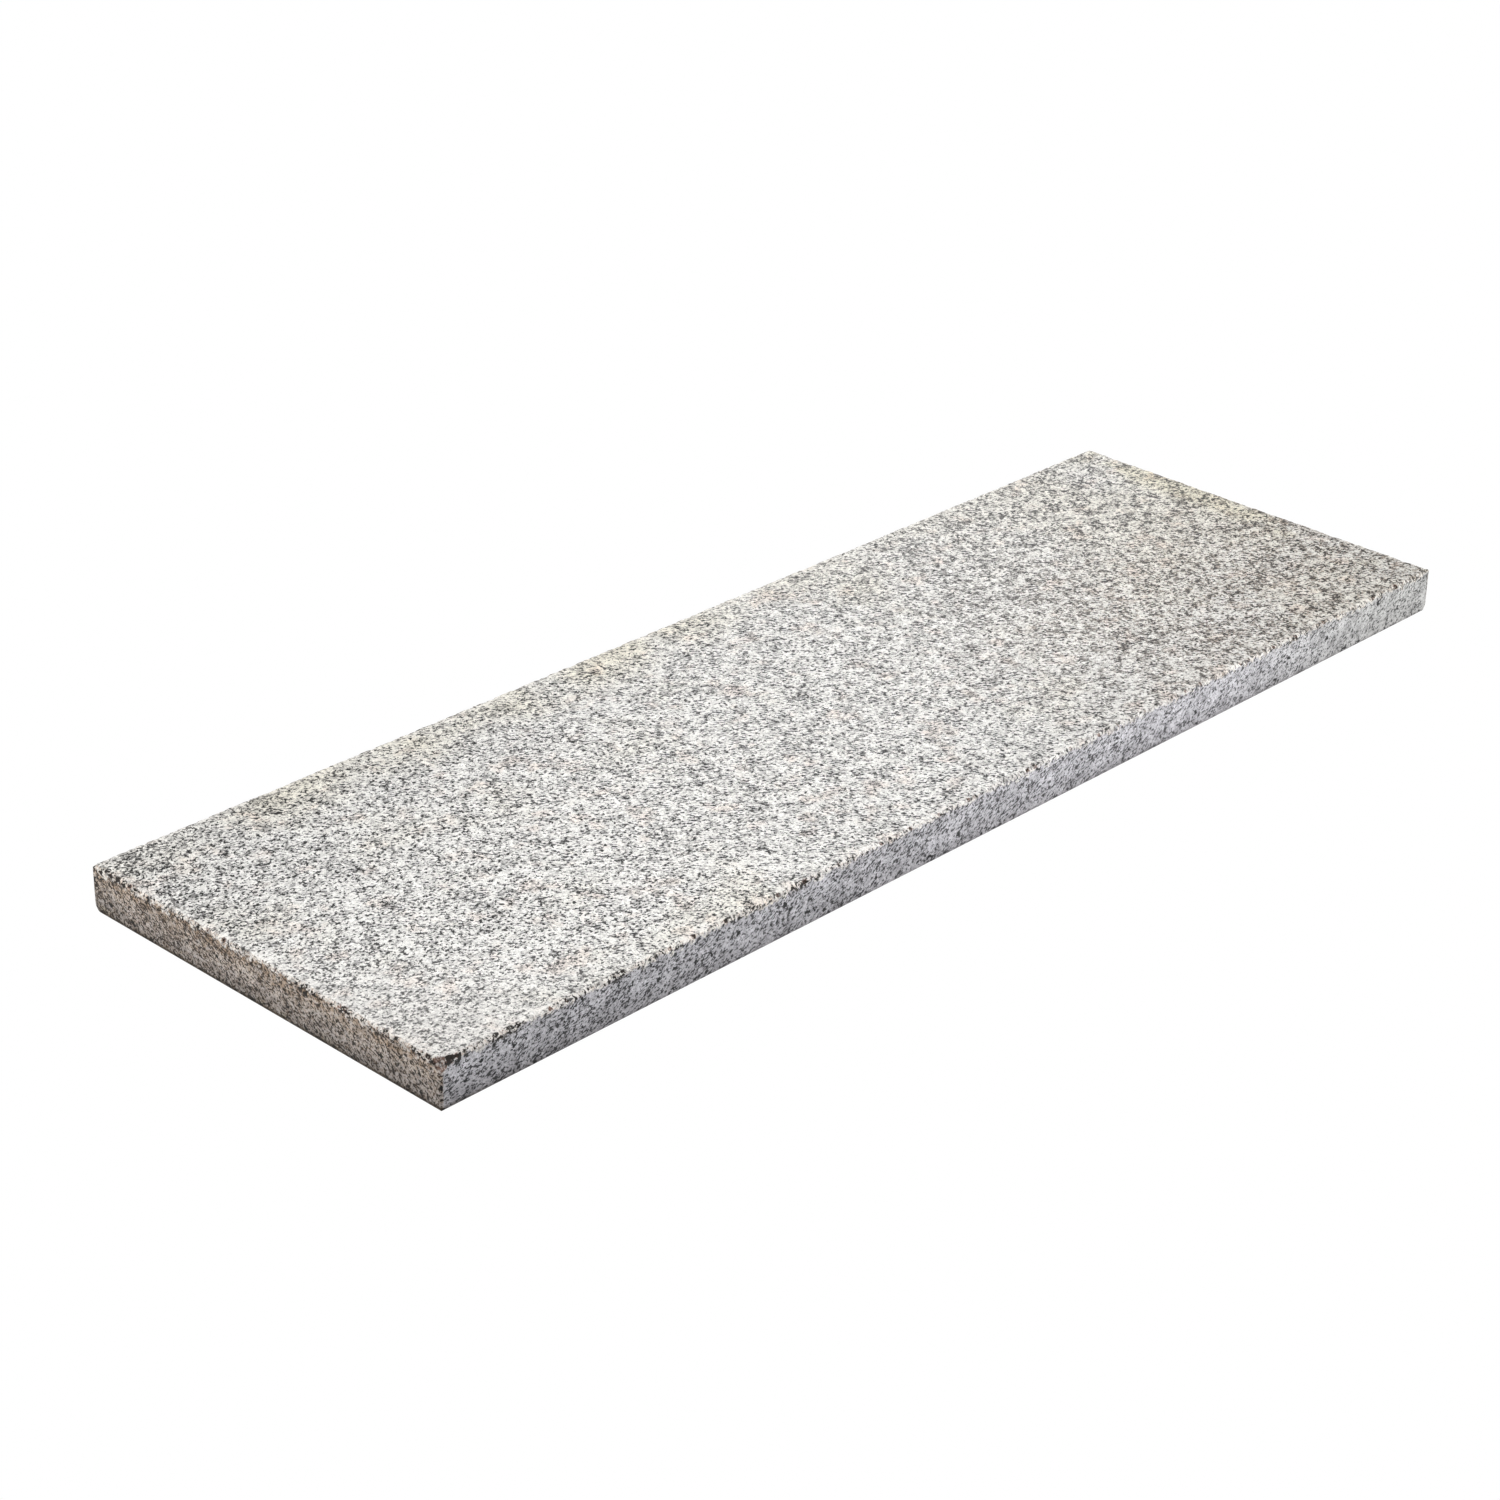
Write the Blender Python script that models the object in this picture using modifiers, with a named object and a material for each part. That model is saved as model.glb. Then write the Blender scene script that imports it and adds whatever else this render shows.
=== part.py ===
"""Granite slab, 900 x 300 x 30 mm: one rectangular piece of light grey granite.

It is made the way a mason makes it: a block sawn square on all six sides, with its arrises eased
and small chips knocked out of the edges of the top face. It is a single stone, so it is a single
object with nothing fastened to it.

Metres, +Z up. The origin is the middle of the underside, +X runs along the length and +Y across
the width.
"""

import math
import random

import bmesh
import bpy
from mathutils import Matrix, Vector

# The sawn block.
LENGTH = 0.900
WIDTH = 0.300
THICKNESS = 0.030

# How far each edge is taken back. The top ones wear most, and the underside stays as it was sawn.
TOP_ARRIS = 0.0020
UPRIGHT_ARRIS = 0.0012
BOTTOM_ARRIS = 0.0006
ARRIS_SEGMENTS = 2

# Chips along the four top edges, each a shallow scoop bitten out of the arris.
CHIP_SEED = 11
CHIP_SPACING = 0.055
CHIP_RADIUS = (0.004, 0.008)
CHIP_DEPTH = (0.0013, 0.0021)

# Larger losses at single corners: direction of the corner from the middle, radius and depth.
CORNER_CHIPS = (
    (Vector((-1, -1, 1)), 0.0140, 0.0060),
    (Vector((-1, 1, -1)), 0.0060, 0.0030),
    (Vector((1, -1, -1)), 0.0060, 0.0026),
)

# How uneven the broken faces are, as a share of a scoop's radius.
FACET_SEED = 12
FACET_JITTER = 0.06

# Average finish of the stone.
GRANITE_COLOUR = (0.56, 0.55, 0.53, 1.0)
GRANITE_ROUGHNESS = 0.78

HALF_SIZE = Vector((LENGTH, WIDTH, THICKNESS)) / 2
MIDDLE = Vector((0, 0, THICKNESS / 2))


def clear_scene():
    for obj in list(bpy.data.objects):
        bpy.data.objects.remove(obj, do_unlink=True)


def new_collection(name):
    collection = bpy.data.collections.new(name)
    bpy.context.scene.collection.children.link(collection)
    return collection


def new_object(name, bm, collection):
    """Turns the bmesh into an object of this name in the collection."""
    mesh = bpy.data.meshes.new(name)
    bm.to_mesh(mesh)
    bm.free()
    obj = bpy.data.objects.new(name, mesh)
    collection.objects.link(obj)
    return obj


def granite():
    material = bpy.data.materials.new("granite")
    material.use_nodes = True
    shader = material.node_tree.nodes["Principled BSDF"]
    shader.inputs["Base Color"].default_value = GRANITE_COLOUR
    shader.inputs["Roughness"].default_value = GRANITE_ROUGHNESS
    shader.inputs["Metallic"].default_value = 0.0
    return material


def arris_width(edge):
    """How far this edge of the block is taken back, by whether it is at the top, foot or upright."""
    heights = sorted(vertex.co.z for vertex in edge.verts)
    if heights[0] > MIDDLE.z:
        return TOP_ARRIS
    if heights[1] < MIDDLE.z:
        return BOTTOM_ARRIS
    return UPRIGHT_ARRIS


def sawn_block(collection):
    """The block, with each edge eased to its own width by one weighted Bevel."""
    bm = bmesh.new()
    placing = Matrix.Translation(MIDDLE) @ Matrix.Diagonal((LENGTH, WIDTH, THICKNESS, 1))
    bmesh.ops.create_cube(bm, size=1.0, matrix=placing)
    weight = bm.edges.layers.float.new("bevel_weight_edge")
    for edge in bm.edges:
        edge[weight] = arris_width(edge) / TOP_ARRIS
    block = new_object("granite_slab", bm, collection)
    block.data.materials.append(granite())

    easing = block.modifiers.new("eased_arrises", "BEVEL")
    easing.limit_method = "WEIGHT"
    easing.width = TOP_ARRIS
    easing.segments = ARRIS_SEGMENTS
    return block


def plan_edge_chips(rng, along, across):
    """Scoops spread evenly, with some wander, down the top edge that faces `across`. Each is a
    point on the sharp edge, the way out of the stone there, a radius and a depth."""
    run = abs(HALF_SIZE.dot(along)) * 2
    count = int(run / CHIP_SPACING)
    upward = Vector((0, 0, 1))
    outward = (across + upward).normalized()
    edge_middle = MIDDLE + HALF_SIZE * (across + upward)
    for place in range(count):
        wander = rng.uniform(0.25, 0.75)
        offset = ((place + wander) / count - 0.5) * run
        radius = rng.uniform(*CHIP_RADIUS)
        depth = rng.uniform(*CHIP_DEPTH)
        yield edge_middle + along * offset, outward, radius, depth


def plan_chips():
    rng = random.Random(CHIP_SEED)
    length_way, width_way = Vector((1, 0, 0)), Vector((0, 1, 0))
    chips = []
    for side in (-1, 1):
        chips += plan_edge_chips(rng, length_way, width_way * side)
        chips += plan_edge_chips(rng, width_way, length_way * side)
    for corner, radius, depth in CORNER_CHIPS:
        chips.append((MIDDLE + HALF_SIZE * corner, corner.normalized(), radius, depth))
    return chips


def add_scoop(bm, rng, edge_point, outward, radius, depth):
    """Adds a faceted ball that bites to this depth below the sharp edge point."""
    centre = edge_point + outward * (radius - depth)
    turn = Matrix.Rotation(rng.uniform(0, math.tau), 4, Vector((rng.random(), rng.random(), 1)))
    placing = Matrix.Translation(centre) @ turn
    ball = bmesh.ops.create_icosphere(bm, subdivisions=2, radius=radius, matrix=placing)
    for vertex in ball["verts"]:
        out = vertex.co - centre
        vertex.co += out * rng.uniform(-FACET_JITTER, FACET_JITTER)


def chip_cutter(collection):
    """Every chip as one mesh of separate balls, clear of each other."""
    rng = random.Random(FACET_SEED)
    bm = bmesh.new()
    for chip in plan_chips():
        add_scoop(bm, rng, *chip)
    cutter = new_object("edge_chips", bm, collection)
    cutter.hide_render = True
    cutter.display_type = "WIRE"
    return cutter


def cut(block, cutter):
    chipping = block.modifiers.new("chipped_edges", "BOOLEAN")
    chipping.operation = "DIFFERENCE"
    chipping.solver = "EXACT"
    chipping.object = cutter


def main():
    clear_scene()
    block = sawn_block(new_collection("granite_slab"))
    cut(block, chip_cutter(new_collection("cutters")))


main()
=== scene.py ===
"""Looks for the granite slab: one closed, finely shaped stone in a procedural granite.

Metres, in the frame of the CAD part: the origin is the middle of the underside and +Z is up. The
left end is at -X, the right end at +X, the front edge at -Y and the back edge at +Y.
"""

import math
import random

import bmesh
import bpy
import numpy as np
from mathutils import Matrix, Quaternion, Vector, noise


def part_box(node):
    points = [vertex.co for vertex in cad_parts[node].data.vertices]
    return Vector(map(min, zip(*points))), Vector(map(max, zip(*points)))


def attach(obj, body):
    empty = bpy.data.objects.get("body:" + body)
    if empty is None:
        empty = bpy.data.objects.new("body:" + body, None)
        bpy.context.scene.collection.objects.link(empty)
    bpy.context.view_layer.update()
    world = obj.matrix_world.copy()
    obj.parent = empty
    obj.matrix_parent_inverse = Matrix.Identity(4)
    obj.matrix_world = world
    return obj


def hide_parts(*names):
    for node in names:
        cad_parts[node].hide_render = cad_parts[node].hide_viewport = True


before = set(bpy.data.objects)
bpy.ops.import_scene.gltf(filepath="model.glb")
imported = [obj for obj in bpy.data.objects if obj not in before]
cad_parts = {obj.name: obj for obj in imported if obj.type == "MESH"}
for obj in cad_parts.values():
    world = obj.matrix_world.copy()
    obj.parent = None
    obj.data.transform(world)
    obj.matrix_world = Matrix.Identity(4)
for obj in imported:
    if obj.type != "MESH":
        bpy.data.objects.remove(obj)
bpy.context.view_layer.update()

# The block, from the CAD solid.
LOW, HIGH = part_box("granite_slab")
MIDDLE = (LOW + HIGH) / 2
HALF = (HIGH - LOW) / 2
MM = 0.001

# Mesh of the stone. The belt is the band that runs down the sides and a little way in over the top
# and the underside. Its columns are fine, and each ring towards a middle that halves them makes the
# cells twice as wide.
CELLS_ALONG = 688
CELLS_ACROSS = 232
TOP_ARRIS = 2.2 * MM
UNDER_ARRIS = 0.6 * MM
UPRIGHT_ARRIS = 1.0 * MM
ARRIS_STEPS = 3
TOP_INSETS = [step * MM for step in (3.0, 4.2, 5.8, 8.0, 10.5)]
SIDE_DROPS = [
    step * MM for step in (2.8, 3.6, 4.8, 6.2, 8.5, 11.5, 15.0, 18.5, 22.0, 25.0, 27.5, 29.0)
]
UNDER_INSETS = [step * MM for step in (1.6, 3.0)]
HALVING_STEP = 2.6 * MM
TOP_HALVINGS = 1
UNDER_HALVINGS = 3
SHARP_ANGLE = math.radians(38)

# Scoops along the top edges: spacing, how far each wanders within its share of the edge, radius,
# depth below the sharp edge, and how much stain it has, which also sets where dirt and painted
# shade darken it. The chips are the ones that the CAD solid has.
CHIP_SEED, NICK_SEED, PIT_SEED = 11, 5, 8
CHIPS = (0.055, (0.25, 0.75), (0.004, 0.008), (0.0013, 0.0021), 0.15)
NICKS = (0.0042, (0.0, 1.0), (0.0015, 0.0040), (0.0009, 0.0019), 0.0)
PITS = (0.026, (0.0, 1.0), (0.0014, 0.0030), (0.0016, 0.0027), 0.8)

# Losses at single corners: direction from the middle, radius and depth. These are in the CAD too.
CORNER_CHIPS = (
    (Vector((-1, -1, 1)), 0.0140, 0.0060),
    (Vector((-1, 1, -1)), 0.0060, 0.0030),
    (Vector((1, -1, -1)), 0.0060, 0.0026),
)
CORNER_STAIN = 0.45

# Hollows to the right of the front left corner's loss, darkened with painted shadow, dirt and
# stain: way along the front edge, radius, depth.
SPALL_PITS = ((0.0035, 0.0045, 0.0034), (0.0075, 0.0045, 0.0032), (0.0115, 0.0036, 0.0020))
SPALL_STAIN_AND_SHADE = 1.0

# How far a scoop has pushed a point where stain with painted shade and broken stone begin, and
# where they are full.
STAIN_AND_SHADE_PUSH = (0.1 * MM, 0.9 * MM)
BROKEN_PUSH = (0.02 * MM, 0.25 * MM)
LEAST_DISTANCE = 1e-9    # keeps a point at a scoop's own centre from a division by zero

# Relief of the dressed top, the top arrises and the sawn faces: how high, and its noise as width of
# the features, octaves and seed. The arrises also lose a share of their relief's height everywhere,
# and the noise of the sawn faces is stretched down their height.
TOP_RELIEF, TOP_GRIT = 0.30 * MM, (7 * MM, 3, 1)
TOP_SWELL, TOP_WAVES = 0.22 * MM, (60 * MM, 2, 2)
ARRIS_CRUMBLE, ARRIS_CRUMBS, ARRIS_WEAR = 0.35 * MM, (4.5 * MM, 3, 4), 0.5
SAWN_RELIEF, SAWN_WANDER, SAWN_STRETCH = 0.05 * MM, (14 * MM, 3, 3), np.array([1, 1, 0.35])

# Where each relief starts and is full: by the depth below the top for the top and the arrises, by
# the height for the sawn faces, and by the distance from a face for the side faces.
TOP_DEPTH = (1.2 * TOP_ARRIS, 0.2 * TOP_ARRIS)
ARRIS_DEPTH = (6 * MM, 1 * MM)
SAWN_HEIGHT = (LOW.z + 0.3 * MM, LOW.z + 2 * MM)
FACE_INSET = (1.5 * MM, 0.2 * MM)

# The mesh's noise: what a seed shifts it by, how fast its octaves fade and how much finer each is.
SEED_SHIFT = (7.31, 3.17, 5.71)
OCTAVE_FADE, OCTAVE_STEP = 1.0, 2.0


def plan_edge_chips(rng, along, across, kind):
    """Scoops of one kind spread along the top edge that faces `across`: point on the sharp edge,
    way out of the stone there, radius, depth and stain."""
    spacing, wanders, radii, depths, stain = kind
    run = abs(HALF.dot(along)) * 2
    count = int(run / spacing)
    upward = Vector((0, 0, 1))
    outward = (across + upward).normalized()
    edge_middle = MIDDLE + HALF * (across + upward)
    for place in range(count):
        wander = rng.uniform(*wanders)
        offset = ((place + wander) / count - 0.5) * run
        radius = rng.uniform(*radii)
        depth = rng.uniform(*depths)
        yield edge_middle + along * offset, outward, radius, depth, stain


def plan_chips():
    """Every scoop: chips, nicks and pits along the top edges, then the losses at corners."""
    length_way, width_way = Vector((1, 0, 0)), Vector((0, 1, 0))
    edges = []
    for side in (-1, 1):
        edges.append((length_way, width_way * side))
        edges.append((width_way, length_way * side))
    chips = []
    for seed, kind in ((CHIP_SEED, CHIPS), (NICK_SEED, NICKS), (PIT_SEED, PITS)):
        rng = random.Random(seed)
        for along, across in edges:
            chips += plan_edge_chips(rng, along, across, kind)
    for corner, radius, depth in CORNER_CHIPS:
        place = MIDDLE + HALF * corner
        chips.append((place, corner.normalized(), radius, depth, CORNER_STAIN))
    for along, radius, depth in SPALL_PITS:
        place = Vector((LOW.x + along, LOW.y, HIGH.z))
        chips.append((place, Vector((0, -1, 1)).normalized(), radius, depth, SPALL_STAIN_AND_SHADE))
    return chips


def belt_profile():
    """(inset, height) of each ring of the belt, from the top's edge down to the underside's."""
    top, foot = HIGH.z, LOW.z
    rings = [(inset, top) for inset in reversed(TOP_INSETS)]
    for step in range(ARRIS_STEPS + 1):
        turn = math.radians(90) * step / ARRIS_STEPS
        rings.append((TOP_ARRIS * (1 - math.sin(turn)), top - TOP_ARRIS * (1 - math.cos(turn))))
    rings += [(0.0, top - drop) for drop in SIDE_DROPS]
    rings.append((UNDER_ARRIS, foot))
    rings += [(inset, foot) for inset in UNDER_INSETS]
    return rings


def ring_points(inset, height, cells_along, cells_across):
    """A loop round the block, anticlockwise from the corner at the lowest X and Y."""
    x, y = HALF.x - inset, HALF.y - inset
    corners = [(-x, -y), (x, -y), (x, y), (-x, y)]
    counts = [cells_along, cells_across, cells_along, cells_across]
    points = []
    for side, count in enumerate(counts):
        start, end = corners[side], corners[(side + 1) % 4]
        for step in range(count):
            share = step / count
            points.append((
                MIDDLE.x + start[0] + (end[0] - start[0]) * share,
                MIDDLE.y + start[1] + (end[1] - start[1]) * share,
                height,
            ))
    return points


def add_ring(bm, inset, height, halvings=0):
    cells = CELLS_ALONG >> halvings, CELLS_ACROSS >> halvings
    return [bm.verts.new(point) for point in ring_points(inset, height, *cells)]


def bridge(bm, upper, lower):
    """Quads between two rings with the same number of points, facing out."""
    count = len(upper)
    for step in range(count):
        after = (step + 1) % count
        bm.faces.new((upper[step], lower[step], lower[after], upper[after]))


def bridge_halving(bm, outer, inner, facing_up):
    """Triangles from a ring to one inside it with half as many points."""
    count = len(inner)
    for step in range(count):
        after = (step + 1) % count
        first, middle = outer[2 * step], outer[2 * step + 1]
        last = outer[(2 * step + 2) % len(outer)]
        for face in (
            (first, middle, inner[step]),
            (middle, inner[after], inner[step]),
            (middle, last, inner[after]),
        ):
            bm.faces.new(face if facing_up else face[::-1])


def fill_ring(bm, ring, cells_along, cells_across, facing_up):
    """A grid of quads inside a ring, whose own points are the grid's edge."""
    low, high = ring[0].co, ring[cells_along + cells_across].co
    grid = {}
    for column in range(cells_along + 1):
        grid[column, 0] = ring[column]
        grid[column, cells_across] = ring[2 * cells_along + cells_across - column]
    for row in range(cells_across):
        grid[cells_along, row] = ring[cells_along + row]
        grid[0, row] = ring[-row]
    for column in range(1, cells_along):
        for row in range(1, cells_across):
            x = low.x + (high.x - low.x) * column / cells_along
            y = low.y + (high.y - low.y) * row / cells_across
            grid[column, row] = bm.verts.new((x, y, low.z))
    for column in range(cells_along):
        for row in range(cells_across):
            face = (
                grid[column, row],
                grid[column + 1, row],
                grid[column + 1, row + 1],
                grid[column, row + 1],
            )
            bm.faces.new(face if facing_up else face[::-1])


def close_middle(bm, ring, inset, height, halvings, facing_up):
    """Fills a face of the stone inside the belt, coarser by this many halvings."""
    for halving in range(1, halvings + 1):
        inset += HALVING_STEP * halving
        inner = add_ring(bm, inset, height, halving)
        bridge_halving(bm, ring, inner, facing_up)
        ring = inner
    fill_ring(bm, ring, CELLS_ALONG >> halvings, CELLS_ACROSS >> halvings, facing_up)


def block_mesh():
    """The plain block as a closed mesh, fine where the stone is worn."""
    bm = bmesh.new()
    profile = belt_profile()
    rings = [add_ring(bm, inset, height) for inset, height in profile]
    for upper, lower in zip(rings, rings[1:]):
        bridge(bm, upper, lower)
    close_middle(bm, rings[0], profile[0][0], HIGH.z, TOP_HALVINGS, facing_up=True)
    close_middle(bm, rings[-1], profile[-1][0], LOW.z, UNDER_HALVINGS, facing_up=False)
    mesh = bpy.data.meshes.new("granite_slab_stone")
    bm.to_mesh(mesh)
    bm.free()
    return mesh


def smooth_step(values, start, end):
    share = np.clip((values - start) / (end - start), 0, 1)
    return share * share * (3 - 2 * share)


def layered_noise(points, feature, octaves, seed):
    """Noise of about -1 to 1 at each point, whose largest features are this wide."""
    shift = Vector([seed * step for step in SEED_SHIFT])
    return np.array([
        noise.fractal(Vector(point) / feature + shift, OCTAVE_FADE, OCTAVE_STEP, octaves)
        for point in points
    ])


def scoop_out(points, chips):
    """Pushes the points inside each scoop onto its ball. Returns how far each point went and how
    much stain it has, a mask that also places painted shade."""
    start = points.copy()
    stained = np.zeros(len(points))
    for edge_point, outward, radius, depth, stain in chips:
        centre = np.array(edge_point + outward * (radius - depth))
        near = np.abs(points - centre).max(axis=1) < radius
        away = points[near] - centre
        distance = np.linalg.norm(away, axis=1)
        pushed = np.clip(radius - distance, 0, None)
        growth = 1 + pushed / np.maximum(distance, LEAST_DISTANCE)
        points[near] = centre + away * growth[:, None]
        stained[near] = np.maximum(stained[near], stain * smooth_step(pushed, *STAIN_AND_SHADE_PUSH))
    return np.linalg.norm(points - start, axis=1), stained


def ease_upright_arrises(points):
    """Pulls the corner columns in along their diagonals."""
    middle, half = np.array(MIDDLE), np.array(HALF)
    inset = half[:2] - np.abs(points[:, :2] - middle[:2])
    pull = np.clip(UPRIGHT_ARRIS - inset.sum(axis=1), 0, None) / 2
    points[:, :2] -= np.sign(points[:, :2] - middle[:2]) * pull[:, None]


def roughen(points, start):
    """Dresses the top, crumbles the top arrises and leaves the sawn faces faintly uneven. `start`
    has the points where the plain block had them."""
    middle, half = np.array(MIDDLE), np.array(HALF)
    inset = half - np.abs(start - middle)
    below_top = HIGH.z - start[:, 2]
    on_top = smooth_step(below_top, *TOP_DEPTH)
    grit = layered_noise(start, *TOP_GRIT)
    waves = layered_noise(start, *TOP_WAVES)
    points[:, 2] += on_top * (TOP_RELIEF * grit + TOP_SWELL * waves)

    at_arris = smooth_step(below_top, *ARRIS_DEPTH)
    crumbs = layered_noise(start, *ARRIS_CRUMBS)
    sawn = smooth_step(start[:, 2], *SAWN_HEIGHT) * (1 - on_top)
    wander = layered_noise(start * SAWN_STRETCH, *SAWN_WANDER)
    inward = sawn * SAWN_RELIEF * (1 + wander) + at_arris * ARRIS_CRUMBLE * (ARRIS_WEAR + crumbs)
    inward = np.clip(inward, 0, None)
    for axis in (0, 1):
        at_face = smooth_step(inset[:, axis], *FACE_INSET)
        way = np.sign(start[:, axis] - middle[axis])
        points[:, axis] -= way * at_face * inward


def add_mask(mesh, name, values):
    mask = mesh.attributes.new(name, "FLOAT", "POINT")
    mask.data.foreach_set("value", values.astype(np.float32))


def shape_stone(mesh):
    """Gives the plain block its worn, dressed and sawn surfaces, and the masks of what is broken
    and of stain with painted shade."""
    points = np.empty(len(mesh.vertices) * 3, np.float32)
    mesh.vertices.foreach_get("co", points)
    points = points.reshape(-1, 3).astype(float)
    start = points.copy()
    ease_upright_arrises(points)
    gone, stained = scoop_out(points, plan_chips())
    roughen(points, start)
    mesh.vertices.foreach_set("co", points.astype(np.float32).ravel())
    add_mask(mesh, "broken", smooth_step(gone, *BROKEN_PUSH))
    add_mask(mesh, "stained", stained)
    mesh.update()


class Nodes:
    """Short ways to add and join shader nodes. A value is a number, a colour, a vector or another
    node's socket."""

    def __init__(self, tree):
        self.tree = tree
        tree.nodes.clear()

    def add(self, kind, settings=(), **inputs):
        """Adds a node with its settings and inputs, where `_` in an input's name is a space."""
        node = self.tree.nodes.new(kind)
        for name, value in dict(settings).items():
            setattr(node, name, value)
        for name, value in inputs.items():
            self.put(node, name.replace("_", " "), value)
        return node

    def put(self, node, name, value):
        """Sets an input, found by its name or by its place where inputs share a name."""
        socket = node.inputs[int(name)] if name.isdigit() else node.inputs[name]
        if isinstance(value, bpy.types.NodeSocket):
            self.tree.links.new(value, socket)
        else:
            socket.default_value = value

    def math(self, operation, *values):
        node = self.add("ShaderNodeMath", {"operation": operation})
        for place, value in enumerate(values):
            self.put(node, str(place), value)
        return node.outputs[0]

    def plus(self, first, *others):
        for other in others:
            first = self.math("ADD", first, other)
        return first

    def minus(self, first, second):
        return self.math("SUBTRACT", first, second)

    def times(self, first, *others):
        for other in others:
            first = self.math("MULTIPLY", first, other)
        return first

    def larger(self, first, second):
        return self.math("MAXIMUM", first, second)

    def vector(self, operation, first, second=(0, 0, 0), scale=1.0):
        node = self.add("ShaderNodeVectorMath", {"operation": operation})
        for place, value in (("0", first), ("1", second), ("3", scale)):
            self.put(node, place, value)
        return node.outputs[0]

    def mix(self, share, first, second, blend="MIX"):
        """Mixes two colours, which are the Mix node's inputs 6 and 7 and its output 2."""
        node = self.add("ShaderNodeMix", {"data_type": "RGBA", "blend_type": blend})
        for place, value in (("0", share), ("6", first), ("7", second)):
            self.put(node, place, value)
        return node.outputs[2]

    def shade(self, colour, amount):
        """The colour made lighter or darker by this factor."""
        grey = self.add("ShaderNodeCombineColor", Red=amount, Green=amount, Blue=amount)
        return self.mix(1.0, colour, grey.outputs[0], "MULTIPLY")

    def tint(self, colour, share, tint):
        """The colour multiplied by the tint, to this share."""
        return self.mix(share, colour, tint, "MULTIPLY")

    def ramp(self, value, start, end, low=0.0, high=1.0):
        """A smooth step from low to high as the value goes from start to end."""
        node = self.add(
            "ShaderNodeMapRange", {"interpolation_type": "SMOOTHSTEP"},
            Value=value, From_Min=start, From_Max=end, To_Min=low, To_Max=high,
        )
        return node.outputs["Result"]

    def noise(self, where, pattern, output="Fac"):
        """Noise from 0 to 1 in a pattern: width of the features, detail, roughness and seed."""
        width, detail, roughness, seed = pattern
        node = self.add(
            "ShaderNodeTexNoise", {"noise_dimensions": "4D"},
            Vector=where, W=seed, Scale=1 / width, Detail=detail, Roughness=roughness,
        )
        return node.outputs[output]

    def cells(self, where, width, output):
        """Voronoi cells of about this width."""
        node = self.add(
            "ShaderNodeTexVoronoi", {"voronoi_dimensions": "4D"},
            Vector=where, W=0.0, Scale=1 / width, Randomness=1.0,
        )
        return node.outputs[output]

    def mask(self, name):
        return self.add("ShaderNodeAttribute", {"attribute_name": name}).outputs["Fac"]


# Mineral colours, as sawn and as dressed, where crushed crystal whitens them.
FELDSPAR = (0.548, 0.541, 0.570, 1)
QUARTZ = (0.340, 0.334, 0.352, 1)
BIOTITE = (0.010, 0.010, 0.011, 1)
FELDSPAR_DRESSED = (0.765, 0.755, 0.735, 1)
QUARTZ_DRESSED = (0.34, 0.336, 0.332, 1)
BIOTITE_DRESSED = (0.020, 0.019, 0.019, 1)

# Tints that weathering and handling leave, the colours of powder and dirt, and painted shade
# at the foot and in the pits.
CREAM = (1.0, 0.965, 0.86, 1)
LICHEN = (0.98, 0.965, 0.88, 1)
PINK = (1.0, 0.94, 0.91, 1)
GREYED = (0.91, 0.90, 0.895, 1)
SAWN_FAR = (0.87, 0.88, 0.82, 1)
BROWNED = (1.0, 0.85, 0.72, 1)
BROWN_FILM = (1.0, 0.88, 0.71, 1)
BROWN_FLECK = (0.17, 0.125, 0.085, 1)
UNDER_ARRIS_BROWN = (0.87, 0.785, 0.70, 1)
# painted shade for the foot of the sides
FOOT_PAINTED_SHADE = (0.58, 0.57, 0.57, 1)
FOOT_LINE = (0.26, 0.22, 0.16, 1)
MOSS = (0.72, 0.70, 0.50, 1)
RUST = (0.66, 0.53, 0.45, 1)
SPALL = (0.30, 0.20, 0.17, 1)
CRUSHED = (0.80, 0.765, 0.73, 1)
# near black of dirt with painted shade, for pits and crumbs on the top arrises
PIT_DIRT_AND_SHADE = (0.012, 0.009, 0.007, 1)

# Patterns of noise: width of the features, detail, roughness of the detail, and seed.
RAGGED_PATTERN = (1.2 * MM, 1.0, 0.5, 0.0)
BITE_PATTERN = (3.2 * MM, 2.0, 0.5, 51.0)
WANDER_PATTERN = (14 * MM, 1.0, 0.5, 53.0)
MOTTLE_PATTERN = (6.5 * MM, 1.0, 0.5, 5.0)
GRAIN_PATTERN = (2.3 * MM, 2.0, 0.6, 3.0)
FLAKE_PATTERN = (2.5 * MM, 1.5, 0.5, 7.0)
SPECK_PATTERN = (2.4 * MM, 1.5, 0.5, 9.0)
DOT_PATTERN = (4.2 * MM, 1.0, 0.5, 47.0)
GRIT_PATTERN = (0.8 * MM, 3.0, 0.7, 8.0)
CLOUD_PATTERN = (11 * MM, 2.0, 0.5, 61.0)
PATCH_PATTERN = (60 * MM, 3.0, 0.5, 21.0)
SPOT_PATTERN = (16 * MM, 2.0, 0.5, 23.0)
SMEAR_PATTERN = (5 * MM, 3.0, 0.7, 41.0)
FLECK_PATTERN = (1.3 * MM, 1.5, 0.5, 45.0)
MOSS_PATTERN = (22 * MM, 2.0, 0.5, 43.0)
POWDER_PATTERN = (2.4 * MM, 2.0, 0.5, 37.0)
STRETCH_PATTERN = (20 * MM, 2.0, 0.5, 33.0)
CRUMB_PATTERN = (1.9 * MM, 2.0, 0.6, 31.0)
RUST_PATTERN = (1.4 * MM, 1.0, 0.5, 35.0)

# From here on, a name that ends in _PAIR has the value on the sawn faces and that on the dressed
# top. Other tuples are what ramp() takes after its value: where it starts and ends, and how high it
# is at each where that isn't 0 and 1.

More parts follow.
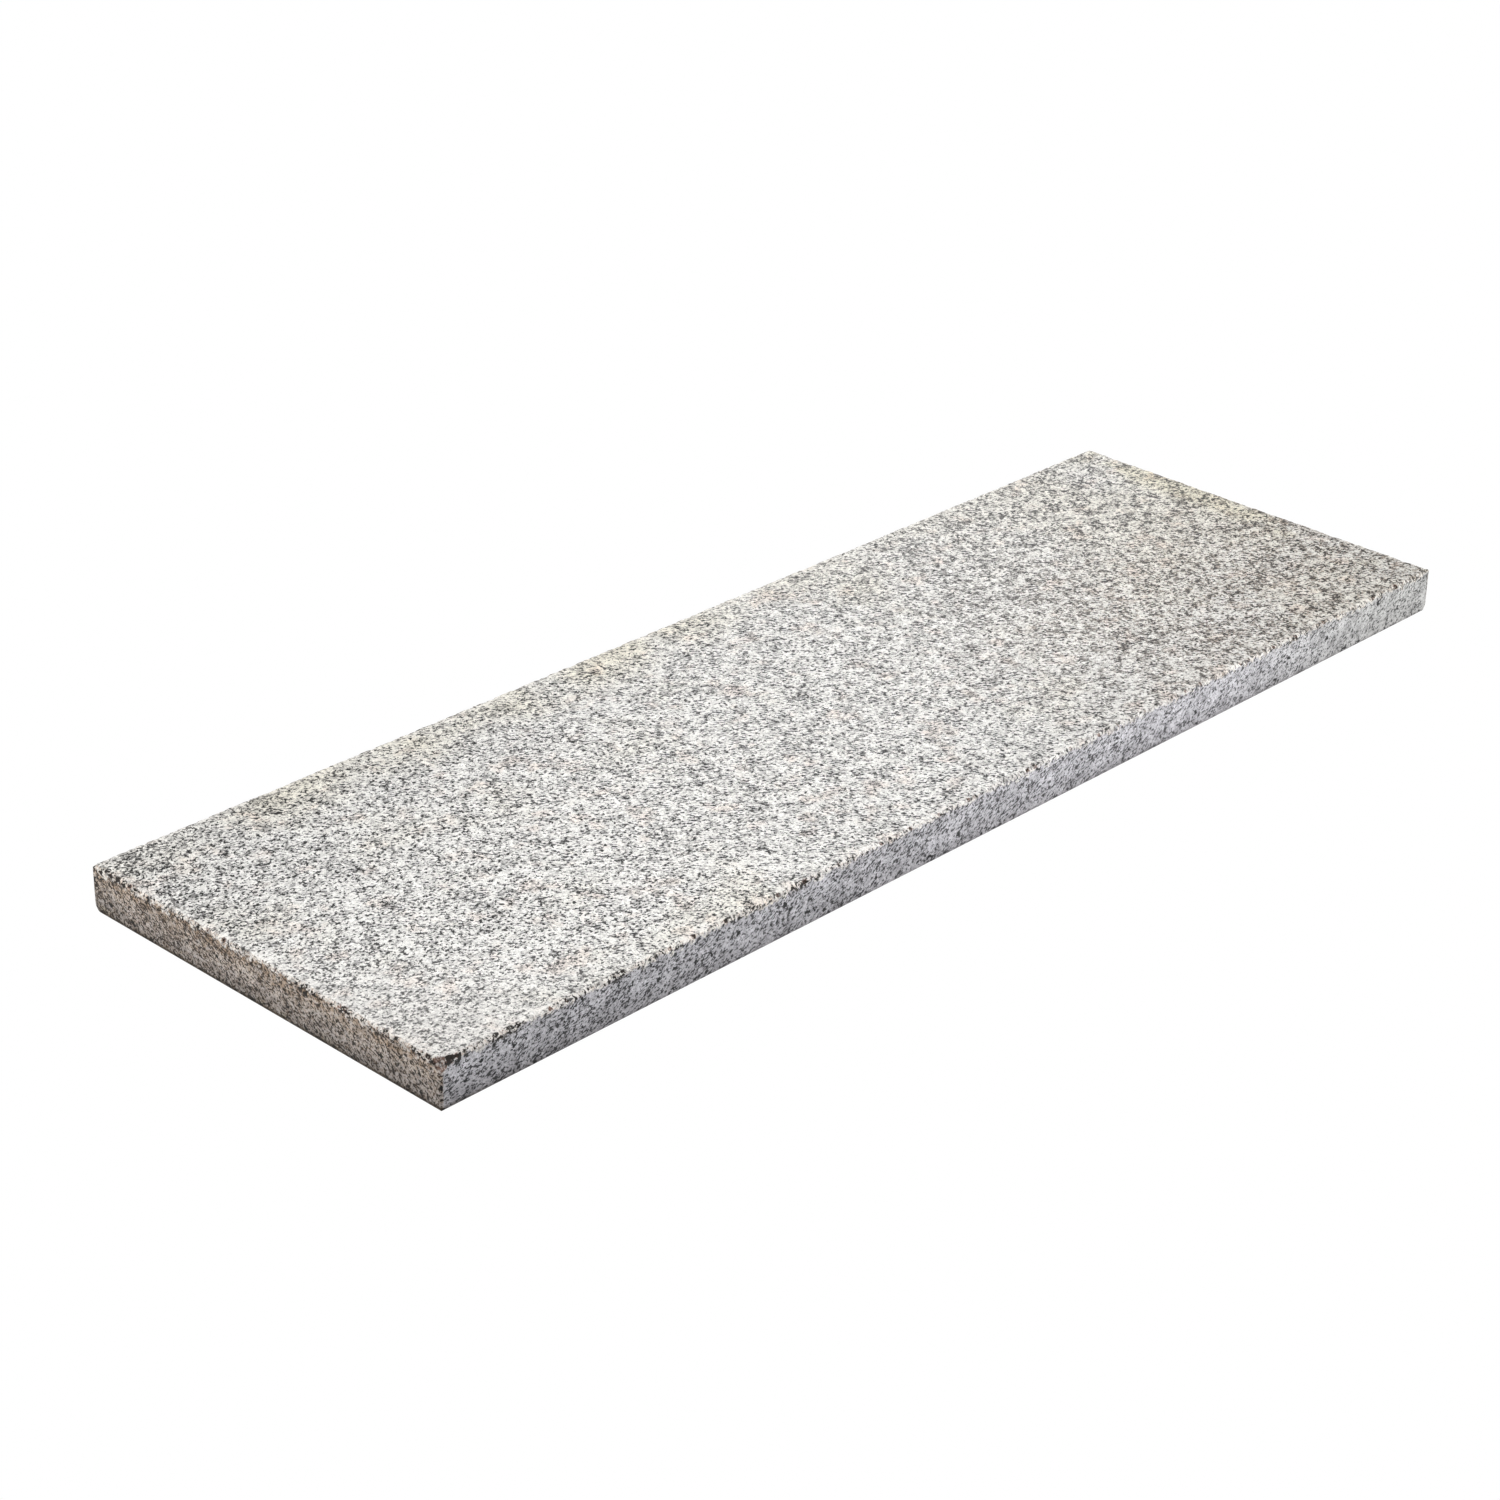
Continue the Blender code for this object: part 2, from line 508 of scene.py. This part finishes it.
# Masks that the layers share: the line where the dressing ends, the two ends and the worn rim.
RAGGED_REACH = 1.6 * MM
BITE_DROP = (0.25, 0.75, -2.6 * MM, 2.6 * MM)
WANDER_DROP = (0.25, 0.75, -1.0 * MM, 1.0 * MM)
DRESSED_HEIGHT = (HIGH.z - 3.0 * MM, HIGH.z - 2.2 * MM)
TOP_HEIGHT = (HIGH.z - 1.6 * MM, HIGH.z - 0.8 * MM)
LEFT_END_X = (LOW.x + 2.5 * MM, LOW.x + 1.0 * MM)
RIGHT_END_X = (HIGH.x - 2.5 * MM, HIGH.x - 1.0 * MM, 0.0, 0.5)
WORN_WANDER = (0.25, 0.75, -3.0 * MM, 3.0 * MM)
WORN_INSET = (6.5 * MM, 0.5 * MM)
WORN_X = (0.25, -0.15, 0.35, 1.0)


class GraniteNodes(Nodes):
    """The nodes of the granite, with the places and masks that its layers share."""

    def __init__(self, tree):
        super().__init__(tree)
        self.where = self.add("ShaderNodeTexCoord").outputs["Object"]
        self.x, self.y, self.z = self.add("ShaderNodeSeparateXYZ", Vector=self.where).outputs
        self.ragged = self.ragged_where()
        self.broken = self.mask("broken")
        self.stained = self.mask("stained")
        self.wander = self.noise(self.where, WANDER_PATTERN)
        self.dressed = self.dressed_share()
        self.sawn = self.minus(1.0, self.dressed)
        self.left_end = self.ramp(self.x, *LEFT_END_X)
        self.sawn_left_end = self.times(self.left_end, self.sawn)
        self.inset = self.outline_inset()
        self.crushed = self.crushed_share()

    def ragged_where(self):
        """A jittered place to look the grains up at, which gives them ragged outlines."""
        jitter = self.noise(self.where, RAGGED_PATTERN, "Color")
        centred = self.vector("SUBTRACT", jitter, (0.5, 0.5, 0.5))
        offset = self.vector("SCALE", centred, scale=RAGGED_REACH)
        return self.vector("ADD", self.where, offset)

    def dressed_share(self):
        """1 on the dressed top and on broken stone, 0 on the sawn faces. The dressed surface ends
        in a ragged line a little way down the sides."""
        bites = self.ramp(self.noise(self.where, BITE_PATTERN), *BITE_DROP)
        line = self.plus(self.z, bites, self.ramp(self.wander, *WANDER_DROP))
        dressed = self.larger(self.ramp(line, *DRESSED_HEIGHT), self.ramp(self.z, *TOP_HEIGHT))
        return self.larger(dressed, self.broken)

    def outline_inset(self):
        """How far a point lies inside the nearest side of the block's outline."""
        from_end = self.minus(HALF.x, self.math("ABSOLUTE", self.x))
        from_side = self.minus(HALF.y, self.math("ABSOLUTE", self.y))
        return self.math("MINIMUM", from_end, from_side)

    def crushed_share(self):
        """How crushed the crystal is: most near the outline of the top and on its left half."""
        worn = self.plus(self.inset, self.ramp(self.wander, *WORN_WANDER))
        return self.times(self.ramp(worn, *WORN_INSET), self.dressed, self.ramp(self.x, *WORN_X))

    def by_finish(self, pair):
        """The first value on the sawn faces and the second on the dressed top."""
        return self.ramp(self.dressed, 0, 1, *pair)


# Flat grains: how flat they are, across what direction, and how they swing round towards the left
# end to lie more along the slab.
FLATNESS = 0.37
FOLIATION = Vector((0.40, 0.50, -0.77))
BEND_START = -0.10
BEND = 0.55

# How much of one noise goes into the next, and what raises or lowers the level of the dark
# minerals: the right end, the back left corner, the worn rim and the left end.
MOTTLE_IN_GRAIN = 0.4
GRAIN_IN_FLAKES = 0.45
MOTTLE_IN_SPECKS = 0.3
DARKER_X, DARKER_PAIR = (0.0, 0.4), (-0.018, 0.004)
BACK_CORNER = (0.40, 0.58)
BACK_CORNER_LEVEL = 0.012
RIM_LEVEL = 0.015
LEFT_END_FLAKES, FLAKES_PAIR = 0.006, (0.002, 0.0)

# The levels at which quartz, mica flakes, coarse specks and dots show, and how much of each.
QUARTZ_LEVEL = (0.665, 0.82)
LEFT_END_QUARTZ, QUARTZ_PAIR = -0.25, (0.95, 1.0)
FLAKE_LEVEL, FLAKE_FULL_PAIR = 0.858, (0.877, 0.902)
FLAKE_PAIR = (0.92, 1.0)
SOFT_CORNER, SOFT_PAIR = (-0.38, -0.56, 1.0), (1.0, 0.78)
SPECK_LEVEL = (0.735, 0.775)
SPECK_X, SPECK_PAIR = (0.02, 0.30, 0.0, 0.9), (0.25, 1.0)
SPECK_AT_BACK_CORNER = 0.9
DOT_LEVEL = (0.675, 0.70)


def flat_where(stone):
    """Places to look the flat grains up at, squashed across the foliation."""
    past = stone.larger(stone.minus(BEND_START, stone.x), 0.0)
    swing = stone.add("ShaderNodeCombineXYZ", Y=stone.times(past, past, BEND)).outputs[0]
    bent = stone.vector("ADD", stone.ragged, swing)
    mapping = stone.add("ShaderNodeMapping", {"vector_type": "TEXTURE"}, Vector=bent)
    mapping.inputs["Rotation"].default_value = FOLIATION.to_track_quat("Z", "Y").to_euler()
    mapping.inputs["Scale"].default_value = (1, 1, FLATNESS)
    return mapping.outputs[0]


def mineral_shares(stone):
    """How much of each point is quartz, and how much is biotite, the dark mica. What is neither is
    feldspar."""
    back_corner = stone.ramp(stone.minus(stone.y, stone.x), *BACK_CORNER)
    right = stone.ramp(stone.x, *DARKER_X, 0.0, stone.by_finish(DARKER_PAIR))
    rim = stone.times(stone.crushed, RIM_LEVEL)
    darker = stone.plus(stone.times(back_corner, BACK_CORNER_LEVEL), stone.minus(right, rim))
    soft_high = stone.by_finish(SOFT_PAIR)
    softer = stone.ramp(stone.plus(stone.x, stone.y), *SOFT_CORNER, soft_high)

    flat = flat_where(stone)
    mottle = stone.noise(stone.ragged, MOTTLE_PATTERN)
    level = stone.plus(stone.times(mottle, MOTTLE_IN_GRAIN), stone.noise(flat, GRAIN_PATTERN))
    quartz = stone.ramp(stone.plus(level, darker), *QUARTZ_LEVEL)
    less = stone.times(stone.sawn_left_end, LEFT_END_QUARTZ)
    share = stone.plus(less, stone.by_finish(QUARTZ_PAIR))
    quartz = stone.times(quartz, share, softer)

    level = stone.plus(stone.times(level, GRAIN_IN_FLAKES), stone.noise(flat, FLAKE_PATTERN))
    more = stone.times(stone.sawn_left_end, LEFT_END_FLAKES)
    level = stone.plus(level, stone.plus(more, stone.by_finish(FLAKES_PAIR)), darker)
    flakes = stone.ramp(level, FLAKE_LEVEL, stone.by_finish(FLAKE_FULL_PAIR))
    flakes = stone.times(flakes, softer, stone.by_finish(FLAKE_PAIR))

    # coarser dark specks where the stone is darker, and sparse dots on the sawn faces
    specks = stone.noise(stone.ragged, SPECK_PATTERN)
    specks = stone.plus(stone.times(mottle, MOTTLE_IN_SPECKS), specks)
    at_corner = stone.times(back_corner, SPECK_AT_BACK_CORNER)
    share = stone.larger(stone.ramp(stone.x, *SPECK_X), at_corner)
    share = stone.times(share, stone.by_finish(SPECK_PAIR))
    specks = stone.times(stone.ramp(specks, *SPECK_LEVEL), share)
    dots = stone.ramp(stone.noise(stone.ragged, DOT_PATTERN), *DOT_LEVEL)
    dots = stone.times(dots, stone.sawn)
    return quartz, stone.larger(stone.larger(flakes, specks), dots)


# Brown in the dark grains of the top's right half and of the left end.
BROWNED_X = (0.02, 0.30)
BROWNED_Y = (0.10, -0.06, 0.1, 0.75)

# Lightness of fine grit, of single crystals and of soft clouds.
GRIT_LIGHTNESS, GRIT_PAIR = (0.30, 0.68, -0.42, 0.16), (1.0, 0.85)
CRYSTAL_WIDTH, CRYSTAL_LIGHTNESS = 2.6 * MM, (0, 1, 0.92, 1.09)
CLOUD_LEVEL, CLOUD_LOW_PAIR, CLOUD_HIGH_PAIR = (0.30, 0.70), (0.87, 0.97), (1.13, 1.03)


def stone_colour(stone, quartz, biotite, grit):
    """The stone before patina and dirt: its minerals, those that are browned, and how light each
    crystal is."""
    finishes = []
    for feldspar_colour, quartz_colour, biotite_colour in (
        (FELDSPAR, QUARTZ, BIOTITE),
        (FELDSPAR_DRESSED, QUARTZ_DRESSED, BIOTITE_DRESSED),
    ):
        pale = stone.mix(quartz, feldspar_colour, quartz_colour)
        finishes.append(stone.mix(biotite, pale, biotite_colour))
    colour = stone.mix(stone.dressed, *finishes)

    right = stone.times(stone.ramp(stone.x, *BROWNED_X), stone.ramp(stone.y, *BROWNED_Y))
    browned = stone.larger(stone.times(right, stone.dressed), stone.sawn_left_end)
    browned = stone.times(browned, stone.larger(quartz, biotite))
    colour = stone.tint(colour, browned, BROWNED)

    crystals = stone.cells(stone.ragged, CRYSTAL_WIDTH, "Color")
    crystals = stone.add("ShaderNodeSeparateColor", Color=crystals).outputs["Red"]
    grit_change = stone.times(stone.ramp(grit, *GRIT_LIGHTNESS), stone.by_finish(GRIT_PAIR))
    cloud_ends = stone.by_finish(CLOUD_LOW_PAIR), stone.by_finish(CLOUD_HIGH_PAIR)
    clouds = stone.ramp(stone.noise(stone.where, CLOUD_PATTERN), *CLOUD_LEVEL, *cloud_ends)
    crystals = stone.ramp(crystals, *CRYSTAL_LIGHTNESS)
    return stone.shade(colour, stone.times(crystals, stone.plus(grit_change, 1.0), clouds))


# Patina of the top.
BEHIND_Y = (HIGH.y - 60 * MM, HIGH.y - 8 * MM)
BEHIND_RIGHT_X = (0.2, -0.05, 0.35, 1.0)
BEHIND_LEFT_X = (-0.42, -0.30, 0.3, 1.0)
CREAM_RIGHT_X = (0.05, 0.50, 0.0, 0.6)
CREAM_EDGE_PATCHES = (0.30, 0.62, 0.25, 1.0)
CREAM_PATCHES = (0.50, 0.78, 0.05, 0.55)
LICHEN_X = (0.415, 0.435)
LICHEN_PATCHES = (0.42, 0.52)
GREYED_CORNER = (-0.43, -0.58)
PINK_SPOTS = (0.54, 0.72)


def top_patina(stone, colour):
    """Cream patches, mostly along the back edge and at the right end, yellower ones at the very
    end, a greyer front left corner and faint pinkish spots."""
    patches = stone.noise(stone.where, PATCH_PATTERN)
    back_edge = stone.times(
        stone.ramp(stone.y, *BEHIND_Y),
        stone.ramp(stone.x, *BEHIND_RIGHT_X),
        stone.ramp(stone.x, *BEHIND_LEFT_X),
    )
    edges = stone.larger(back_edge, stone.ramp(stone.x, *CREAM_RIGHT_X))
    edges = stone.times(edges, stone.ramp(patches, *CREAM_EDGE_PATCHES))
    cream = stone.larger(edges, stone.ramp(patches, *CREAM_PATCHES))
    lichen = stone.times(stone.ramp(stone.x, *LICHEN_X), stone.ramp(patches, *LICHEN_PATCHES))
    greyed = stone.ramp(stone.plus(stone.x, stone.y), *GREYED_CORNER)
    pink = stone.ramp(stone.noise(stone.where, SPOT_PATTERN), *PINK_SPOTS)
    for share, tint in ((cream, CREAM), (lichen, LICHEN), (greyed, GREYED), (pink, PINK)):
        colour = stone.tint(colour, stone.times(share, stone.dressed), tint)
    return colour


# Soiling of the sides, and painted shade that deepens towards their foot.
FILM_SMEAR = (0.30, 0.65, 0.6, 1.0)
FILM_PAIR = (1.0, 0.30)
FILM_HEIGHT = (8 * MM, 22 * MM, 0.8, 1.0)
UNDER_ARRIS_HEIGHT = (16 * MM, 25 * MM)
UNDER_ARRIS_SMEAR = (0.38, 0.58)
FLECK_LEVEL = (0.565, 0.605, 0.0, 0.97)
FAR_X = (0.18, 0.42)
FOOT_HEIGHT = (20 * MM, 0.0)
FOOT_SMEAR = (0.25, 0.7, 0.5, 1.0)
FOOT_LEFT_X = (LOW.x + 0.3, LOW.x, 0.75, 1.2)
FOOT_RIGHT_X = (0.20, 0.40, 1.0, 0.55)
LINE_HEIGHT = (3.2 * MM, 1.6 * MM)
LINE_SMEAR = (0.32, 0.55, 0.55, 1.0)
LINE_X = (LOW.x + 0.10, LOW.x + 0.01, 0.15, 0.6)
MOSS_HEIGHT = (8 * MM, 1 * MM)
MOSS_Y = (-0.10, -0.02)
MOSS_LEVEL = (0.50, 0.62)


def soil_sides(stone, colour):
    """A brown film and brown flecks on the two ends, browner under their top arrises, a duller
    stone towards the right end, painted shade that deepens towards the foot, most at the left end,
    a dark line along the foot and moss at that of the left end."""
    smear = stone.noise(stone.where, SMEAR_PATTERN)
    ends = stone.larger(stone.left_end, stone.ramp(stone.x, *RIGHT_END_X))
    film = stone.times(
        ends,
        stone.ramp(smear, *FILM_SMEAR),
        stone.by_finish(FILM_PAIR),
        stone.ramp(stone.z, *FILM_HEIGHT),
    )
    colour = stone.tint(colour, film, BROWN_FILM)
    under_arris = stone.times(
        stone.ramp(stone.z, *UNDER_ARRIS_HEIGHT),
        stone.ramp(smear, *UNDER_ARRIS_SMEAR),
        stone.times(ends, stone.sawn),
    )
    colour = stone.tint(colour, under_arris, UNDER_ARRIS_BROWN)
    flecks = stone.ramp(stone.noise(stone.where, FLECK_PATTERN), *FLECK_LEVEL)
    colour = stone.tint(colour, stone.times(flecks, ends, stone.sawn), BROWN_FLECK)
    far = stone.times(stone.ramp(stone.x, *FAR_X), stone.sawn)
    colour = stone.tint(colour, far, SAWN_FAR)

    # painted shade: the sides darken towards the foot, most towards the left end
    foot = stone.times(
        stone.ramp(stone.z, *FOOT_HEIGHT),
        stone.ramp(smear, *FOOT_SMEAR),
        stone.ramp(stone.x, *FOOT_LEFT_X),
        stone.ramp(stone.x, *FOOT_RIGHT_X),
        stone.sawn,
    )
    colour = stone.tint(colour, foot, FOOT_PAINTED_SHADE)
    line = stone.times(
        stone.ramp(stone.z, *LINE_HEIGHT),
        stone.ramp(smear, *LINE_SMEAR),
        stone.larger(stone.left_end, stone.ramp(stone.x, *LINE_X)),
    )
    colour = stone.tint(colour, line, FOOT_LINE)
    moss = stone.times(
        stone.ramp(stone.z, *MOSS_HEIGHT),
        stone.left_end,
        stone.ramp(stone.y, *MOSS_Y),
        stone.ramp(stone.noise(stone.where, MOSS_PATTERN), *MOSS_LEVEL),
    )
    return stone.tint(colour, moss, MOSS)


# Wear and dirt of the top arrises, and painted shade in their pits and dark crumbs.
POWDER_LEVEL = (0.40, 0.62, 0.0, 0.55)
INSET_WEIGHT = 1.6
BAND_WIDTH = (0.35, 0.65, 2.0 * MM, 5.0 * MM)
BAND_EDGE = (1.1, 0.6)
BAND_X = (0.15, -0.10, 0.25, 1.0)
RUST_LEVEL = (0.50, 0.62, 0.0, 0.7)
RUST_X = (LOW.x + 0.02, LOW.x + 0.05, 1.0, 0.55)
SPALL_EDGE = (0.3, 0.7, -0.15, 0.15)
SPALL_STAINED = (0.15, 0.35)
SPALL_SPECKS = (0.40, 0.56, 0.40, 1.0)
STRETCH_IN_CRUMBS = 0.45
CRUMB_LEVEL = (0.78, 0.81)
PIT_CRUMBS, PIT_STAIN_AND_SHADE = 2.0, 1.2
PIT_LEVEL = (1.72, 1.95)
PIT_STAIN_AND_SHADE_LEVEL = (0.05, 0.3)
DIRT_AND_SHADE_SHARE = 0.975


def dirty_arris(stone, colour):
    """Pale crushed crystal on the worn top arrises, rust and near black crumbs of dirt with painted
    shade along stretches of them, brown on the spalled corner, and dirt with painted shade in the
    pits."""
    powder = stone.ramp(stone.noise(stone.ragged, POWDER_PATTERN), *POWDER_LEVEL)
    colour = stone.mix(stone.times(powder, stone.crushed), colour, CRUSHED)

    stretches = stone.noise(stone.where, STRETCH_PATTERN)
    away = stone.larger(stone.minus(HIGH.z, stone.z), stone.times(stone.inset, INSET_WEIGHT))
    away = stone.math("DIVIDE", away, stone.ramp(stretches, *BAND_WIDTH))
    band = stone.times(stone.ramp(away, *BAND_EDGE), stone.ramp(stone.x, *BAND_X))
    crumbs = stone.noise(stone.ragged, CRUMB_PATTERN)
    specks = stone.noise(stone.ragged, RUST_PATTERN)
    rust = stone.times(stone.ramp(specks, *RUST_LEVEL), band, stone.ramp(stone.x, *RUST_X))
    colour = stone.tint(colour, rust, RUST)

    spalled = stone.ramp(stone.plus(stone.stained, stone.ramp(crumbs, *SPALL_EDGE)), *SPALL_STAINED)
    spalled = stone.times(spalled, stone.ramp(specks, *SPALL_SPECKS))
    colour = stone.tint(colour, spalled, SPALL)

    # near black of dirt with painted shade: crumbs along stretches of the arrises and pits in the
    # scoops
    busy = stone.plus(stone.times(stretches, STRETCH_IN_CRUMBS), crumbs)
    crumb = stone.times(stone.ramp(busy, *CRUMB_LEVEL), band)
    pit = stone.plus(stone.times(crumbs, PIT_CRUMBS), stone.times(stone.stained, PIT_STAIN_AND_SHADE))
    pit = stone.times(stone.ramp(pit, *PIT_LEVEL), stone.ramp(stone.stained, *PIT_STAIN_AND_SHADE_LEVEL))
    return stone.mix(stone.times(stone.larger(crumb, pit), DIRT_AND_SHADE_SHARE), colour, PIT_DIRT_AND_SHADE)


# Finish: crystals stand proud of the dressed face, and grain is just felt on the sawn ones.
PROUD_WIDTH = 2.9 * MM
GRIT_HEIGHT = 0.5
HEIGHT_PAIR = (0.12, 1.0)
BUMP_STRENGTH, BUMP_DISTANCE = 0.7, 0.5 * MM
ROUGHNESS_PAIR = (0.66, 0.88)
BIOTITE_GLINT = 0.2
SPECULAR = 0.35


def granite_material():
    material = bpy.data.materials.new("granite")
    material.use_nodes = True
    stone = GraniteNodes(material.node_tree)
    quartz, biotite = mineral_shares(stone)
    grit = stone.noise(stone.where, GRIT_PATTERN)
    colour = stone_colour(stone, quartz, biotite, grit)
    colour = top_patina(stone, colour)
    colour = soil_sides(stone, colour)
    colour = dirty_arris(stone, colour)

    crystals = stone.cells(stone.ragged, PROUD_WIDTH, "Distance")
    height = stone.plus(crystals, stone.times(grit, GRIT_HEIGHT))
    height = stone.times(height, stone.by_finish(HEIGHT_PAIR))
    bump = stone.add(
        "ShaderNodeBump", Strength=BUMP_STRENGTH, Distance=BUMP_DISTANCE, Height=height
    )
    roughness = stone.minus(stone.by_finish(ROUGHNESS_PAIR), stone.times(biotite, BIOTITE_GLINT))
    shader = stone.add(
        "ShaderNodeBsdfPrincipled",
        Base_Color=colour, Roughness=roughness, Normal=bump.outputs[0], Specular_IOR_Level=SPECULAR,
    )
    stone.add("ShaderNodeOutputMaterial", Surface=shader.outputs[0])
    return material


def make_stone():
    mesh = block_mesh()
    shape_stone(mesh)
    mesh.shade_smooth()
    mesh.set_sharp_from_angle(angle=SHARP_ANGLE)
    stone = bpy.data.objects.new("granite_slab_stone", mesh)
    bpy.context.scene.collection.objects.link(stone)
    mesh.materials.append(granite_material())
    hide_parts("granite_slab")
    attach(stone, "root")


# Camera: out beyond the front left corner and above it, looking diagonally across the slab.
CAMERA_PLACE = Vector((-1.4796, -1.3515, 1.0208))
CAMERA_HEADING = math.radians(46.351)    # from +Y towards +X
CAMERA_DIP = math.radians(27.077)
CAMERA_ROLL = math.radians(0.912)
CAMERA_LENS, CAMERA_SENSOR = 85.47, 36   # mm
CAMERA_CLIP = (0.05, 200)


def make_camera():
    camera = bpy.data.objects.new("camera", bpy.data.cameras.new("camera"))
    camera.data.lens = CAMERA_LENS
    camera.data.sensor_width = CAMERA_SENSOR
    camera.data.clip_start, camera.data.clip_end = CAMERA_CLIP
    turn = Matrix.Rotation(-CAMERA_HEADING, 4, "Z")
    turn = turn @ Matrix.Rotation(math.radians(90) - CAMERA_DIP, 4, "X")
    turn = turn @ Matrix.Rotation(CAMERA_ROLL, 4, "Z")
    camera.matrix_world = Matrix.Translation(CAMERA_PLACE) @ turn
    bpy.context.scene.collection.objects.link(camera)
    bpy.context.scene.camera = camera


# Stage: a floor just under the stone, grey to the light and white to the camera.
FLOOR_RADIUS = 60
FLOOR_SIDES = 96
FLOOR_GAP = 0.2 * MM
FLOOR_GREY = (0.50, 0.50, 0.50, 1)
WHITE = (1, 1, 1, 1)


def make_floor():
    bm = bmesh.new()
    bmesh.ops.create_circle(bm, cap_ends=True, segments=FLOOR_SIDES, radius=FLOOR_RADIUS)
    mesh = bpy.data.meshes.new("floor")
    bm.to_mesh(mesh)
    bm.free()
    floor = bpy.data.objects.new("floor", mesh)
    floor.location.z = LOW.z - FLOOR_GAP
    bpy.context.scene.collection.objects.link(floor)
    material = bpy.data.materials.new("white_table")
    material.use_nodes = True
    nodes = Nodes(material.node_tree)
    seen = nodes.add("ShaderNodeLightPath").outputs["Is Camera Ray"]
    matt = nodes.add("ShaderNodeBsdfDiffuse", Color=FLOOR_GREY).outputs[0]
    white = nodes.add("ShaderNodeEmission", Color=WHITE, Strength=1.0).outputs[0]
    either = nodes.add("ShaderNodeMixShader", **{"0": seen, "1": matt, "2": white})
    nodes.add("ShaderNodeOutputMaterial", Surface=either.outputs[0])
    mesh.materials.append(material)


# Soft boxes: name, place, target, size, watts and turn about the box's own axis.
SOFTBOXES = (
    ("overhead", (0.05, 0.03, 0.55), (0.05, 0.03, 0), (1.63, 0.25), 5.9, math.radians(25)),
    ("right_front", (0.44, -1.0, 0.13), (0.26, -0.15, 0.02), (0.8, 0.22), 9.9, 0.0),
    ("behind", (1.10, 0.85, 0.24), (0.35, 0.10, 0.02), (0.5, 0.3), 6.5, 0.0),
    ("left", (-1.03, 0.39, 0.35), (-0.45, 0.02, 0.02), (0.5, 0.4), 5.4, 0.0),
)

# How bright the world is as a light, and to the camera.
SKY_BRIGHTNESS = (0.18, 1.0)


def add_softbox(name, place, target, size, watts, turn):
    """A rectangular light aimed at the target, which the camera doesn't see."""
    light = bpy.data.lights.new(name, "AREA")
    light.shape = "RECTANGLE"
    light.size, light.size_y = size
    light.energy = watts
    box = bpy.data.objects.new(name, light)
    box.location = place
    aim = (Vector(target) - Vector(place)).to_track_quat("-Z", "Y")
    box.rotation_euler = (aim @ Quaternion((0, 0, 1), turn)).to_euler()
    box.visible_camera = False
    bpy.context.scene.collection.objects.link(box)


def make_lights():
    for softbox in SOFTBOXES:
        add_softbox(*softbox)
    world = bpy.data.worlds.new("studio")
    bpy.context.scene.world = world
    world.use_nodes = True
    nodes = Nodes(world.node_tree)
    seen = nodes.add("ShaderNodeLightPath").outputs["Is Camera Ray"]
    brightness = nodes.ramp(seen, 0, 1, *SKY_BRIGHTNESS)
    sky = nodes.add("ShaderNodeBackground", Color=WHITE, Strength=brightness)
    nodes.add("ShaderNodeOutputWorld", Surface=sky.outputs[0])


def main():
    make_camera()
    make_floor()
    make_lights()
    make_stone()
    bpy.context.scene.view_settings.view_transform = "Standard"


main()
